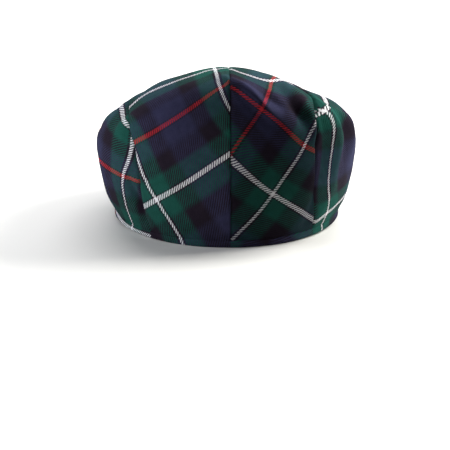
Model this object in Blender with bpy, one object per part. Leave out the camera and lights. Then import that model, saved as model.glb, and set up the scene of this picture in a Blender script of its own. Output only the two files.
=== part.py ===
"""An eight-panel flat cap in tartan wool: crown panels, hem band, peak and covered button.

The cap rests on the back of its hem and on the corners of its peak. +Z is up, the peak points
to -Y and +X is the wearer's left. The origin is the centre of the head opening, on the plane
that the cap rests on. Azimuths are in degrees from the centre back, +Y, towards +X.

Run it with blender --background --python part.py, or from Blender's text editor.
"""
import math
from collections import namedtuple

import bmesh
import bpy
from mathutils import Vector

# Head opening, measured outside the hem, in metres
HEAD_WIDTH = 0.1616
HEAD_LENGTH = 0.206
# Hem: its height over the resting plane at the peak and over the ears
FRONT_RISE = 0.015
SIDE_RISE = 0.002
BAND_HEIGHT = 0.0046
BAND_WALL = 0.0024
# Crown: full width, reach behind and before the head's centre, and height
CROWN_WIDTH = 0.185
CROWN_BACK = 0.109
CROWN_FRONT = 0.127
CROWN_HEIGHT = 0.116
CLOTH_WALL = 0.002
# The gap between neighbouring pieces of cloth
SEAM_GAP = 0.0003
# Height of a panel's swell between its seams, as a share of its half width
PANEL_SWELL = 0.045
# Peak: its reach before the hem, its board, the height of its front edge and its span in degrees
PEAK_LENGTH = 0.052
PEAK_THICKNESS = 0.004
PEAK_TIP_HEIGHT = 0.002
PEAK_SPAN = 116.0
# Sideways flare of the peak's ribs, its reach at the corners as a share of its length, the
# roundness of its outline, and the share of its thickness that the front edge is eased by
PEAK_FLARE = 0.35
PEAK_CORNER = 0.07
PEAK_ROUNDNESS = 0.55
PEAK_EASE = 0.25
# Covered button over the tips of the panels, and the height of its rim as a share of its own
BUTTON_RADIUS = 0.0105
BUTTON_HEIGHT = 0.0048
BUTTON_RIM = 0.5
# Room between the button's back and the swell of the panels
BUTTON_SEAT = 0.0007
TIP_RADIUS = 0.004

# The hem lies flat on the resting plane as far as this azimuth each side of the centre back
FLAT_AZIMUTH = 25.0
# Share of the hem band's height that its lower outer edge is eased by
BAND_EASE = 0.2
# Steps for measuring the slope of a surface, in degrees round the crown and in stations up it
SLOPE_TURN = 0.6
SLOPE_CLIMB = 0.02
# Stations over which the folds start at the hem and end at the apex, and the depth under its own
# surface over which a fold dies away, as a share of the crown's height
FOLD_START = 0.4
FOLD_END = 0.8
FOLD_DEPTH = 0.45
# Powers of the swell across a panel and of the easing along the peak's front edge
SWELL_POWER = 4
EDGE_POWER = 8
PANEL_COLUMNS = 8
PANEL_ROWS = 22
BAND_SEGMENTS = 72
PEAK_COLUMNS = 24
PEAK_ROWS = 7
BUTTON_SEGMENTS = 24
# Radii of the button's rings, as shares of its own
BUTTON_RINGS = [0.35, 0.70, 0.93, 1.00]
# Halvings in the search for a radius, and the angle in degrees past which an edge is sharp
SEARCH_STEPS = 24
SHARP_ANGLE = 40.0

# Rings of the crown from the hem to the apex. hem is a share of the head opening and rise a
# share of the hem's height. back, side and front are shares of the crown's reach that way, and
# the up columns are shares of its height. corner widens a ring between the back and the side,
# or between the front and the side, and cup lifts it there.
Station = namedtuple("Station", "name hem rise back side front up_back up_side up_front "
                                "corner_back cup_back corner_front")
STATIONS = [
    Station("hem",      1.00, 1.00, 0.000, 0.000, 0.000, 0.000, 0.000, 0.000, 0.00, 0.00, 0.00),
    Station("low",      0.25, 0.75, 0.745, 0.710, 0.700, 0.198, 0.135, 0.018, 0.03, 0.00, 0.00),
    Station("belly",    0.00, 0.50, 0.970, 0.970, 0.985, 0.444, 0.342, 0.116, 0.10, 0.00, 0.00),
    Station("shoulder", 0.00, 0.25, 0.930, 0.970, 1.000, 0.711, 0.534, 0.262, 0.12, 0.02, 0.02),
    Station("brow",     0.00, 0.10, 0.840, 0.815, 0.880, 0.908, 0.662, 0.425, 0.11, 0.01, 0.03),
    Station("summit",   0.00, 0.00, 0.570, 0.550, 0.620, 0.990, 0.785, 0.600, 0.09, 0.01, 0.03),
    Station("top",      0.00, 0.00, 0.285, 0.280, 0.300, 0.940, 0.820, 0.742, 0.03, 0.00, 0.01),
    Station("apex",     0.00, 0.00, 0.000, 0.000, 0.000, 0.830, 0.830, 0.830, 0.00, 0.00, 0.00),
]
APEX_STATION = float(len(STATIONS) - 1)

# Azimuth of each seam at the hem, low on the panels, at the belly and the shoulder, where it
# bends over, on the crest and at the apex
Seam = namedtuple("Seam", "name hem low belly shoulder bend crest apex")
SEAMS = [
    Seam("back",          0.0,   0.0,   0.0,   0.0,   0.0,   0.0,   0.0),
    Seam("rear_left",    42.0,  43.2,  38.9,  39.2,  45.2,  59.0,  45.0),
    Seam("left",         90.0,  90.0,  90.0,  90.0,  90.0,  90.0,  90.0),
    Seam("fore_left",   138.0, 136.5, 135.0, 135.0, 135.0, 135.0, 135.0),
    Seam("front",       180.0, 180.0, 180.0, 180.0, 180.0, 180.0, 180.0),
    Seam("fore_right",  222.0, 223.5, 225.0, 225.0, 225.0, 225.0, 225.0),
    Seam("right",       270.0, 270.0, 270.0, 270.0, 270.0, 270.0, 270.0),
    Seam("rear_right",  314.3, 318.4, 322.8, 324.5, 321.6, 314.0, 315.0),
]
SEAM_STATIONS = {"hem": 0.0, "low": 1.0, "belly": 1.8, "shoulder": 2.6, "bend": 3.4, "crest": 4.2,
                 "apex": APEX_STATION}
PANELS = ["rear_left", "side_rear_left", "side_fore_left", "front_left",
          "front_right", "side_fore_right", "side_rear_right", "rear_right"]

# Folds and dents. Each lies at an azimuth and station, and turn is its run in degrees from
# straight up the crown towards +X. Its half length, half width and height are shares of the
# crown's height, and a dent's height is below zero.
Fold = namedtuple("Fold", "name azimuth station turn half_length half_width height")
FOLDS = [
    Fold("ridge from the top of the back seam", -9.5, 3.95, 40.0, 0.20, 0.055, 0.024),
    Fold("hollow under that ridge",            -28.5, 3.50, 10.0, 0.22, 0.080, -0.030),
    Fold("crest over the right rear seam",     -33.0, 4.45, 80.0, 0.22, 0.070, 0.006),
    Fold("tuck beside the right rear seam",    -39.0, 2.40,  0.0, 0.50, 0.035, -0.016),
    Fold("roll of the right side panel",       -46.5, 2.70,  0.0, 0.50, 0.050, 0.018),
    Fold("fullness of the right shoulder",     -72.0, 4.05,  0.0, 0.15, 0.160, 0.050),
    Fold("flat of the right belly",            -90.0, 2.85,  0.0, 0.23, 0.320, -0.068),
    Fold("crease down the right side panel",   -52.0, 3.00, -20.0, 0.28, 0.040, -0.014),
    Fold("slope of the left shoulder",          88.0, 4.35,  0.0, 0.18, 0.320, -0.029),
    Fold("lift of the left crest",              50.0, 4.60,  0.0, 0.12, 0.200, 0.022),
    Fold("fullness of the left shoulder",       64.0, 4.00,  0.0, 0.12, 0.100, 0.027),
    Fold("crease at the left shoulder",         51.5, 3.45, -10.0, 0.12, 0.030, -0.010),
    Fold("tuck low on the left rear seam",      43.6, 1.00, -10.0, 0.12, 0.035, -0.012),
    Fold("swell of the left rear panel",        22.0, 3.20,  0.0, 0.40, 0.200, 0.012),
    Fold("bridge over the back seam",            0.0, 4.75,  0.0, 0.15, 0.040, 0.012),
    Fold("bridge over the left rear seam",      59.0, 4.15,  0.0, 0.16, 0.045, 0.017),
    Fold("front drape on the left",            152.0, 3.60, 70.0, 0.30, 0.060, -0.016),
    Fold("front drape on the right",           206.0, 3.40, -70.0, 0.30, 0.060, -0.014),
    Fold("slack before the left ear",          112.0, 3.50, 30.0, 0.26, 0.060, -0.014),
    Fold("slack before the right ear",         246.0, 3.60, -25.0, 0.24, 0.060, -0.016),
]

Finish = namedtuple("Finish", "name red green blue roughness")
CROWN_WOOL = Finish("tartan_wool_crown", 0.012, 0.040, 0.042, 0.85)
BAND_WOOL = Finish("tartan_wool_hem", 0.010, 0.028, 0.032, 0.85)
PEAK_WOOL = Finish("tartan_wool_peak", 0.014, 0.044, 0.040, 0.85)
BUTTON_WOOL = Finish("tartan_wool_button", 0.012, 0.036, 0.046, 0.85)


def clear_scene():
    """Remove what the scene already holds."""
    for old in list(bpy.data.objects):
        bpy.data.objects.remove(old, do_unlink=True)


def spline(values, place):
    """Read a smooth curve through evenly spaced values, straight beyond its two ends."""
    index = min(max(int(place), 0), len(values) - 2)
    part = place - index
    second, third = values[index], values[index + 1]
    first = values[index - 1] if index else 2.0 * second - third
    fourth = values[index + 2] if index + 2 < len(values) else 2.0 * third - second
    return 0.5 * (2.0 * second + (third - first) * part
                  + (2.0 * first - 5.0 * second + 4.0 * third - fourth) * part ** 2
                  + (3.0 * second - first - 3.0 * third + fourth) * part ** 3)


COLUMNS = {field: [getattr(station, field) for station in STATIONS]
           for field in Station._fields[1:]}


def share(field, station):
    """Share of one column at a station, which may lie between two rings."""
    return spline(COLUMNS[field], station)


def hem_rise(azimuth):
    """Height of the hem's lower edge over the resting plane."""
    sideways = math.sin(azimuth) ** 2
    flat = math.sin(math.radians(FLAT_AZIMUTH)) ** 2
    rise = SIDE_RISE * max(0.0, (sideways - flat) / (1.0 - flat))
    if math.cos(azimuth) < 0.0:
        rise += FRONT_RISE * math.cos(azimuth) ** 2
    return rise


def hem_point(azimuth, inset, height):
    """A point of the hem, inset from its outer face and above its lower edge."""
    x = HEAD_WIDTH / 2 * math.sin(azimuth)
    y = HEAD_LENGTH / 2 * math.cos(azimuth)
    outward = Vector((x / HEAD_WIDTH ** 2, y / HEAD_LENGTH ** 2, 0.0)).normalized()
    return Vector((x, y, hem_rise(azimuth) + height)) - inset * outward


def crown_shape(azimuth, station):
    """The crown's outer face before its panels swell and fold."""
    sine, cosine = math.sin(azimuth), math.cos(azimuth)
    behind = cosine > 0.0
    reach = CROWN_BACK if behind else CROWN_FRONT
    corner = math.sin(2.0 * azimuth) ** 2
    full = 1.0 + corner * share("corner_back" if behind else "corner_front", station)
    hem = share("hem", station)
    sideways = HEAD_WIDTH / 2 * hem + CROWN_WIDTH / 2 * share("side", station)
    lengthways = HEAD_LENGTH / 2 * hem + reach * share("back" if behind else "front", station)
    up = (share("up_side", station) * sine ** 2
          + share("up_back" if behind else "up_front", station) * cosine ** 2)
    if behind:
        up += corner * share("cup_back", station)
    hem_top = hem_rise(azimuth) + BAND_HEIGHT + SEAM_GAP
    return Vector((sideways * sine * full, lengthways * cosine * full,
                   hem_top * share("rise", station) + CROWN_HEIGHT * up))


def slope_at(surface, azimuth, station):
    """A surface's run towards the apex and its outward normal."""
    turn = math.radians(SLOPE_TURN)
    below = max(0.0, station - SLOPE_CLIMB)
    above = min(APEX_STATION, station + SLOPE_CLIMB)
    rising = surface(azimuth, above) - surface(azimuth, below)
    leftward = surface(azimuth + turn, station) - surface(azimuth - turn, station)
    return rising.normalized(), rising.cross(leftward).normalized()


def fold_lines():
    """The centre, run and cross direction of each fold, worked out once."""
    lines = []
    for fold in FOLDS:
        azimuth = math.radians(fold.azimuth)
        centre = crown_shape(azimuth, fold.station)
        rising, outward = slope_at(crown_shape, azimuth, fold.station)
        across = rising.cross(outward).normalized()
        turn = math.radians(fold.turn)
        run = math.cos(turn) * rising - math.sin(turn) * across
        lines.append((fold, centre, run, run.cross(outward), outward))
    return lines


FOLD_LINES = fold_lines()


def fold_height(point):
    """How far the folds lift or dent the crown at a point of its shape."""
    total = 0.0
    for fold, centre, run, across, outward in FOLD_LINES:
        offset = point - centre
        along = offset.dot(run) / (fold.half_length * CROWN_HEIGHT)
        beside = offset.dot(across) / (fold.half_width * CROWN_HEIGHT)
        under = offset.dot(outward) / (FOLD_DEPTH * CROWN_HEIGHT)
        total += fold.height * CROWN_HEIGHT * math.exp(-along ** 2 - beside ** 2 - under ** 2)
    return total


def seam_azimuth(seam, station):
    """Azimuth of a seam at a station, in radians."""
    named = list(SEAM_STATIONS.items())
    for (low_name, low), (high_name, high) in zip(named, named[1:]):
        if station <= high:
            part = (station - low) / (high - low)
            degrees = getattr(seam, low_name) * (1.0 - part) + getattr(seam, high_name) * part
            return math.radians(degrees)
    return math.radians(seam.apex)


def swell_height(azimuth, station):
    """How far a panel swells between its two seams: a quick rise beside each seam."""
    degrees = math.degrees(azimuth) % 360.0
    edges = [math.degrees(seam_azimuth(seam, station)) for seam in SEAMS] + [360.0]
    for low, high in zip(edges, edges[1:]):
        if low <= degrees <= high:
            across = 2.0 * (degrees - low) / (high - low) - 1.0
            middle = crown_shape(azimuth, station)
            half_width = math.radians(high - low) / 2 * math.hypot(middle.x, middle.y)
            ease = min(1.0, station)
            return PANEL_SWELL * half_width * ease * (1.0 - across ** SWELL_POWER)
    return 0.0


def crown_point(azimuth, station):
    """The crown's outer face with its panels' swell and its folds."""
    point = crown_shape(azimuth, station)
    _, outward = slope_at(crown_shape, azimuth, min(station, APEX_STATION - SLOPE_CLIMB))
    ease = min(1.0, station / FOLD_START) * min(1.0, (APEX_STATION - station) / FOLD_END)
    height = swell_height(azimuth, station) + ease * fold_height(point)
    return point + height * outward


def station_at(azimuth, radius):
    """The station near the apex where the crown is at this radius."""
    low, high = APEX_STATION - 1.0, APEX_STATION
    for _ in range(SEARCH_STEPS):
        middle = (low + high) / 2
        shape = crown_shape(azimuth, middle)
        if math.hypot(shape.x, shape.y) > radius:
            low = middle
        else:
            high = middle
    return low


def add_object(name, mesh_builder, finish):
    """Make one named object, its mesh and its material."""
    mesh = bpy.data.meshes.new(name)
    builder = bmesh.new()
    mesh_builder(builder)
    bmesh.ops.recalc_face_normals(builder, faces=builder.faces)
    builder.to_mesh(mesh)
    builder.free()
    mesh.shade_smooth()
    mesh.set_sharp_from_angle(angle=math.radians(SHARP_ANGLE))
    cloth = bpy.data.objects.new(name, mesh)
    bpy.context.scene.collection.objects.link(cloth)
    material = bpy.data.materials.get(finish.name) or bpy.data.materials.new(finish.name)
    material.use_nodes = True
    shader = material.node_tree.nodes["Principled BSDF"]
    shader.inputs["Base Color"].default_value = (finish.red, finish.green, finish.blue, 1.0)
    shader.inputs["Roughness"].default_value = finish.roughness
    shader.inputs["Metallic"].default_value = 0.0
    mesh.materials.append(material)
    return cloth


def close_between(builder, outer_rows, inner_rows):
    """Close a wall between an outer and an inner grid of points with faces all round."""
    outer = [[builder.verts.new(point) for point in row] for row in outer_rows]
    inner = [[builder.verts.new(point) for point in row] for row in inner_rows]
    rows, columns = len(outer), len(outer[0])
    for grid in (outer, inner):
        for row in range(rows - 1):
            for column in range(columns - 1):
                builder.faces.new((grid[row][column], grid[row][column + 1],
                                   grid[row + 1][column + 1], grid[row + 1][column]))
    border = ([(0, column) for column in range(columns)]
              + [(row, columns - 1) for row in range(1, rows)]
              + [(rows - 1, column) for column in range(columns - 2, -1, -1)]
              + [(row, 0) for row in range(rows - 2, 0, -1)])
    for (row, column), (next_row, next_column) in zip(border, border[1:] + border[:1]):
        builder.faces.new((outer[row][column], outer[next_row][next_column],
                           inner[next_row][next_column], inner[row][column]))


def crown_panel(builder, low_seam, high_seam, turned):
    """One gore of cloth between two seams, from the hem band to the tip under the button."""
    outer_rows, inner_rows = [], []
    tip = station_at(seam_azimuth(low_seam, APEX_STATION), TIP_RADIUS)
    for row in range(PANEL_ROWS + 1):
        outer, inner = [], []
        station = tip * row / PANEL_ROWS
        low = seam_azimuth(low_seam, station)
        high = seam_azimuth(high_seam, station) + turned
        middle = crown_shape((low + high) / 2, station)
        half_gap = SEAM_GAP / 2 / math.hypot(middle.x, middle.y)
        for column in range(PANEL_COLUMNS + 1):
            part = column / PANEL_COLUMNS
            azimuth = (low + half_gap) * (1.0 - part) + (high - half_gap) * part
            point = crown_point(azimuth, station)
            _, outward = slope_at(crown_point, azimuth, station)
            outer.append(point)
            inner.append(point - CLOTH_WALL * outward if row
                         else hem_point(azimuth, CLOTH_WALL, BAND_HEIGHT + SEAM_GAP))
        outer_rows.append(outer)
        inner_rows.append(inner)
    close_between(builder, outer_rows, inner_rows)


def hem_band(builder):
    """The narrow turned hem under the panels, with its lower outer edge eased."""
    corner = BAND_HEIGHT * BAND_EASE
    profile = [(0.0, corner), (0.0, BAND_HEIGHT), (BAND_WALL, BAND_HEIGHT), (BAND_WALL, 0.0),
               (corner, 0.0)]
    rings = []
    for segment in range(BAND_SEGMENTS):
        azimuth = math.tau * segment / BAND_SEGMENTS
        rings.append([builder.verts.new(hem_point(azimuth, inset, height))
                      for inset, height in profile])
    for ring, following in zip(rings, rings[1:] + rings[:1]):
        for index in range(len(profile)):
            after = (index + 1) % len(profile)
            builder.faces.new((ring[index], following[index], following[after], ring[after]))


def peak_section(turn, reach):
    """Upper and lower point of the peak, turn radians from the front and reach from 0 to 1."""
    half_span = math.radians(PEAK_SPAN / 2)
    azimuth = math.pi - turn
    middle = ((math.cos(turn) ** 2 - math.cos(half_span) ** 2)
              / (1.0 - math.cos(half_span) ** 2))
    root = hem_point(azimuth, BAND_WALL, 0.0)
    forward = Vector((PEAK_FLARE * math.sin(turn), -1.0, 0.0)).normalized()
    round_share = max(0.0, 1.0 - (turn / half_span) ** 2) ** PEAK_ROUNDNESS
    length = PEAK_LENGTH * (PEAK_CORNER + (1.0 - PEAK_CORNER) * round_share)
    place = root + reach * (length + BAND_WALL) * forward
    root_low = (FRONT_RISE - SEAM_GAP - PEAK_THICKNESS) * middle
    low = root_low * (1.0 - reach) + PEAK_TIP_HEIGHT * middle * reach
    root_thickness = root.z - SEAM_GAP - root_low
    thickness = root_thickness * (1.0 - reach) + PEAK_THICKNESS * reach
    edge = PEAK_THICKNESS * PEAK_EASE * reach ** EDGE_POWER
    return (Vector((place.x, place.y, low + thickness - edge)),
            Vector((place.x, place.y, low + edge * middle)))


def peak(builder):
    """The stiffened peak: its root lies under the hem band and its corners on the surface."""
    upper_rows, lower_rows = [], []
    half_span = math.radians(PEAK_SPAN / 2)
    for row in range(PEAK_ROWS + 1):
        reach = math.sin(math.pi / 2 * row / PEAK_ROWS)
        sections = [peak_section(half_span * math.sin(math.pi / 2 * (2 * column / PEAK_COLUMNS - 1)),
                                 reach) for column in range(PEAK_COLUMNS + 1)]
        upper_rows.append([section[0] for section in sections])
        lower_rows.append([section[1] for section in sections])
    close_between(builder, upper_rows, lower_rows)


def button(builder):
    """The cloth-covered button: its back follows the crown and its face is a low dome."""
    _, outward = slope_at(crown_shape, 0.0, APEX_STATION - SLOPE_CLIMB)
    centre_back = crown_shape(0.0, APEX_STATION) + BUTTON_SEAT * outward
    centre_face = centre_back + BUTTON_HEIGHT * outward
    back_rings, face_rings = [], []
    for radius_share in BUTTON_RINGS:
        back, face = [], []
        for segment in range(BUTTON_SEGMENTS):
            azimuth = math.tau * segment / BUTTON_SEGMENTS
            station = station_at(azimuth, BUTTON_RADIUS * radius_share)
            _, lifted = slope_at(crown_point, azimuth, station)
            seat = crown_point(azimuth, station) + BUTTON_SEAT * lifted
            dome = math.sqrt(1.0 - radius_share ** 2)
            rim = BUTTON_HEIGHT * (BUTTON_RIM + (1.0 - BUTTON_RIM) * dome)
            back.append(builder.verts.new(seat))
            face.append(builder.verts.new(seat + rim * outward))
        back_rings.append(back)
        face_rings.append(face)
    for rings, middle in ((back_rings, centre_back), (face_rings, centre_face)):
        hub = builder.verts.new(middle)
        for segment in range(BUTTON_SEGMENTS):
            after = (segment + 1) % BUTTON_SEGMENTS
            builder.faces.new((hub, rings[0][segment], rings[0][after]))
            for ring, wider in zip(rings, rings[1:]):
                builder.faces.new((ring[segment], wider[segment], wider[after], ring[after]))
    for segment in range(BUTTON_SEGMENTS):
        after = (segment + 1) % BUTTON_SEGMENTS
        builder.faces.new((back_rings[-1][segment], back_rings[-1][after],
                           face_rings[-1][after], face_rings[-1][segment]))


def main():
    """Build every piece of the cap."""
    clear_scene()
    for index, name in enumerate(PANELS):
        low_seam, high_seam = SEAMS[index], SEAMS[(index + 1) % len(SEAMS)]
        turned = math.tau if index + 1 == len(SEAMS) else 0.0
        add_object("panel_" + name,
                   lambda builder, low=low_seam, high=high_seam, full_turn=turned:
                   crown_panel(builder, low, high, full_turn),
                   CROWN_WOOL)
    add_object("hem_band", hem_band, BAND_WOOL)
    add_object("peak", peak, PEAK_WOOL)
    add_object("covered_button", button, BUTTON_WOOL)


main()
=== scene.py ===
"""An eight-panel flat cap in tartan wool: its cloth, seams, folds and finishes, and its studio.

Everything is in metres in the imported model's frame: +Z is up, the peak points to -Y and +X is
the wearer's left. Azimuths go from the centre back, +Y, towards +X, and the tables give them in
degrees. A station runs up the crown from 0 at the hem to 7 at the apex.
"""
import math
from collections import namedtuple

import bmesh
import bpy
import numpy as np
from bpy.props import FloatProperty, PointerProperty, StringProperty
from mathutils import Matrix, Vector, noise


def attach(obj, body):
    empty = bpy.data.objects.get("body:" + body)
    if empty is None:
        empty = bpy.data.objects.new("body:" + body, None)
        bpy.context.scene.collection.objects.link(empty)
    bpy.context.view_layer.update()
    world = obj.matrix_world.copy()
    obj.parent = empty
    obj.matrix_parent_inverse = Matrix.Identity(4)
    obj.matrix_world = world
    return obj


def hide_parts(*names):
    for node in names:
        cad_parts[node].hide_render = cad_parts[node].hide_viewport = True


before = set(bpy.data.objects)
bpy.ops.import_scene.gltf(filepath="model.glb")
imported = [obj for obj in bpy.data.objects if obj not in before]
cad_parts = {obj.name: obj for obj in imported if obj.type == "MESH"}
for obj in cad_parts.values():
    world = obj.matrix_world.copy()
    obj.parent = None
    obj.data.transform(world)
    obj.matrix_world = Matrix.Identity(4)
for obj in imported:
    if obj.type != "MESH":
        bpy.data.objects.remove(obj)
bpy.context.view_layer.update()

bl_info = {
    "name": "Tartan flat cap",
    "version": (1, 0, 0),
    "blender": (4, 5, 0),
    "location": "View3D > Sidebar > Cap",
    "description": "Dresses the packed flat cap in tartan wool and sets up its studio",
    "category": "Object",
}

MM = 0.001
# Keeps a length of zero out of a division
TINY = 1e-12

# Rings of the crown, as in the CAD source. hem is a share of the head opening and rise a share
# of the hem's height. back, side and front are shares of the crown's reach that way, and the up
# columns are shares of its height. corner widens a ring between back or front and side.
Station = namedtuple("Station", "name hem rise back side front up_back up_side up_front "
                                "corner_back cup_back corner_front")
STATIONS = [
    Station("hem",      1.00, 1.00, 0.000, 0.000, 0.000, 0.000, 0.000, 0.000, 0.00, 0.00, 0.00),
    Station("low",      0.25, 0.75, 0.745, 0.710, 0.700, 0.198, 0.135, 0.018, 0.03, 0.00, 0.00),
    Station("belly",    0.00, 0.50, 0.970, 0.970, 0.985, 0.444, 0.342, 0.116, 0.10, 0.00, 0.00),
    Station("shoulder", 0.00, 0.25, 0.930, 0.970, 1.000, 0.711, 0.534, 0.262, 0.12, 0.02, 0.02),
    Station("brow",     0.00, 0.10, 0.840, 0.815, 0.880, 0.908, 0.662, 0.425, 0.11, 0.01, 0.03),
    Station("summit",   0.00, 0.00, 0.570, 0.550, 0.620, 0.990, 0.785, 0.600, 0.09, 0.01, 0.03),
    Station("top",      0.00, 0.00, 0.285, 0.280, 0.300, 0.940, 0.820, 0.742, 0.03, 0.00, 0.01),
    Station("apex",     0.00, 0.00, 0.000, 0.000, 0.000, 0.830, 0.830, 0.830, 0.00, 0.00, 0.00),
]
APEX_STATION = float(len(STATIONS) - 1)
# A slope is read this many stations above and below its place
CLIMB = 0.02

# Azimuth of each seam at the hem, low on the panels, at the belly and the shoulder, where it
# bends over, on the crest and at the apex
Seam = namedtuple("Seam", "name hem low belly shoulder bend crest apex")
SEAMS = [
    Seam("back",          0.0,   0.0,   0.0,   0.0,   0.0,   0.0,   0.0),
    Seam("rear_left",    42.0,  43.2,  38.9,  39.2,  45.2,  59.0,  45.0),
    Seam("left",         90.0,  90.0,  90.0,  90.0,  90.0,  90.0,  90.0),
    Seam("fore_left",   138.0, 136.5, 135.0, 135.0, 135.0, 135.0, 135.0),
    Seam("front",       180.0, 180.0, 180.0, 180.0, 180.0, 180.0, 180.0),
    Seam("fore_right",  222.0, 223.5, 225.0, 225.0, 225.0, 225.0, 225.0),
    Seam("right",       270.0, 270.0, 270.0, 270.0, 270.0, 270.0, 270.0),
    Seam("rear_right",  314.3, 318.4, 322.8, 324.5, 321.6, 314.0, 315.0),
]
SEAM_STATIONS = [0.0, 1.0, 1.8, 2.6, 3.4, 4.2, APEX_STATION]
PANELS = ["rear_left", "side_rear_left", "side_fore_left", "front_left",
          "front_right", "side_fore_right", "side_rear_right", "rear_right"]

# Folds and dents of the soft crown. Each lies at an azimuth and station, and turn is its run in
# degrees from straight up the crown towards +X. Its half length, half width and height are
# shares of the crown's height, and a dent's height is below zero.
Fold = namedtuple("Fold", "name azimuth station turn half_length half_width height")
FOLDS = [
    Fold("ridge from the top of the back seam", -9.5, 3.95, 40.0, 0.20, 0.055, 0.024),
    Fold("hollow under that ridge",            -28.5, 3.50, 10.0, 0.22, 0.080, -0.030),
    Fold("crest over the right rear seam",     -33.0, 4.45, 80.0, 0.22, 0.070, 0.006),
    Fold("tuck beside the right rear seam",    -39.0, 2.40,  0.0, 0.50, 0.035, -0.016),
    Fold("roll of the right side panel",       -46.5, 2.70,  0.0, 0.50, 0.050, 0.018),
    Fold("fullness of the right shoulder",     -72.0, 4.05,  0.0, 0.15, 0.160, 0.050),
    Fold("flat of the right belly",            -90.0, 2.85,  0.0, 0.23, 0.320, -0.068),
    Fold("crease down the right side panel",   -52.0, 3.00, -20.0, 0.28, 0.040, -0.014),
    Fold("slope of the left shoulder",          88.0, 4.35,  0.0, 0.18, 0.320, -0.029),
    Fold("lift of the left crest",              50.0, 4.60,  0.0, 0.12, 0.200, 0.022),
    Fold("fullness of the left shoulder",       64.0, 4.00,  0.0, 0.12, 0.100, 0.027),
    Fold("crease at the left shoulder",         51.5, 3.45, -10.0, 0.12, 0.030, -0.010),
    Fold("tuck low on the left rear seam",      43.6, 1.00, -10.0, 0.12, 0.035, -0.012),
    Fold("swell of the left rear panel",        22.0, 3.20,  0.0, 0.40, 0.200, 0.012),
    Fold("bridge over the back seam",            0.0, 4.75,  0.0, 0.15, 0.040, 0.012),
    Fold("bridge over the left rear seam",      59.0, 4.15,  0.0, 0.16, 0.045, 0.017),
    Fold("front drape on the left",            152.0, 3.60, 70.0, 0.30, 0.060, -0.016),
    Fold("front drape on the right",           206.0, 3.40, -70.0, 0.30, 0.060, -0.014),
    Fold("slack before the left ear",          112.0, 3.50, 30.0, 0.26, 0.060, -0.014),
    Fold("slack before the right ear",         246.0, 3.60, -25.0, 0.24, 0.060, -0.016),
]

# Small creases that only the cloth shows, in the same columns
CREASES = [
    Fold("edge of the ridge",                   -9.8, 3.76, 42.0, 0.17, 0.026, 0.038),
    Fold("dip beyond the ridge",               -20.0, 3.72, 42.0, 0.08, 0.040, -0.020),
    Fold("shade under the ridge",              -12.5, 3.38, 42.0, 0.16, 0.035, -0.012),
    Fold("deep of the hollow",                 -32.0, 3.60,  5.0, 0.13, 0.050, -0.040),
    Fold("valley beyond the roll",             -50.5, 3.10, -12.0, 0.14, 0.028, -0.030),
    Fold("streak beyond the valley",           -57.0, 3.10, -10.0, 0.12, 0.022, 0.030),
    Fold("corner of the right shoulder",       -68.0, 3.40,  0.0, 0.05, 0.120, 0.010),
    Fold("crease low on the left seam",         43.6, 1.30,  0.0, 0.20, 0.022, -0.012),
]

# How each panel was cut: the angle of its weft in degrees from level, seen from outside with
# the panel's middle upright, and the threads between the middle of its hem and the red stripes.
Cut = namedtuple("Cut", "panel weft_angle weft_threads warp_threads")
CUTS = [
    Cut("rear_left",        32.0, -135.0,   85.5),
    Cut("side_rear_left",  -12.0,  -72.2,   40.9),
    Cut("side_fore_left",   20.0,  -30.0,   60.0),
    Cut("front_left",      -33.0,  -95.0,  -40.0),
    Cut("front_right",      33.0,  -95.0,   40.0),
    Cut("side_fore_right", -20.0,  -30.0,  -60.0),
    Cut("side_rear_right",   7.5,   61.2,  128.3),
    Cut("rear_right",      -34.5, -120.9,  117.1),
]

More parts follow.
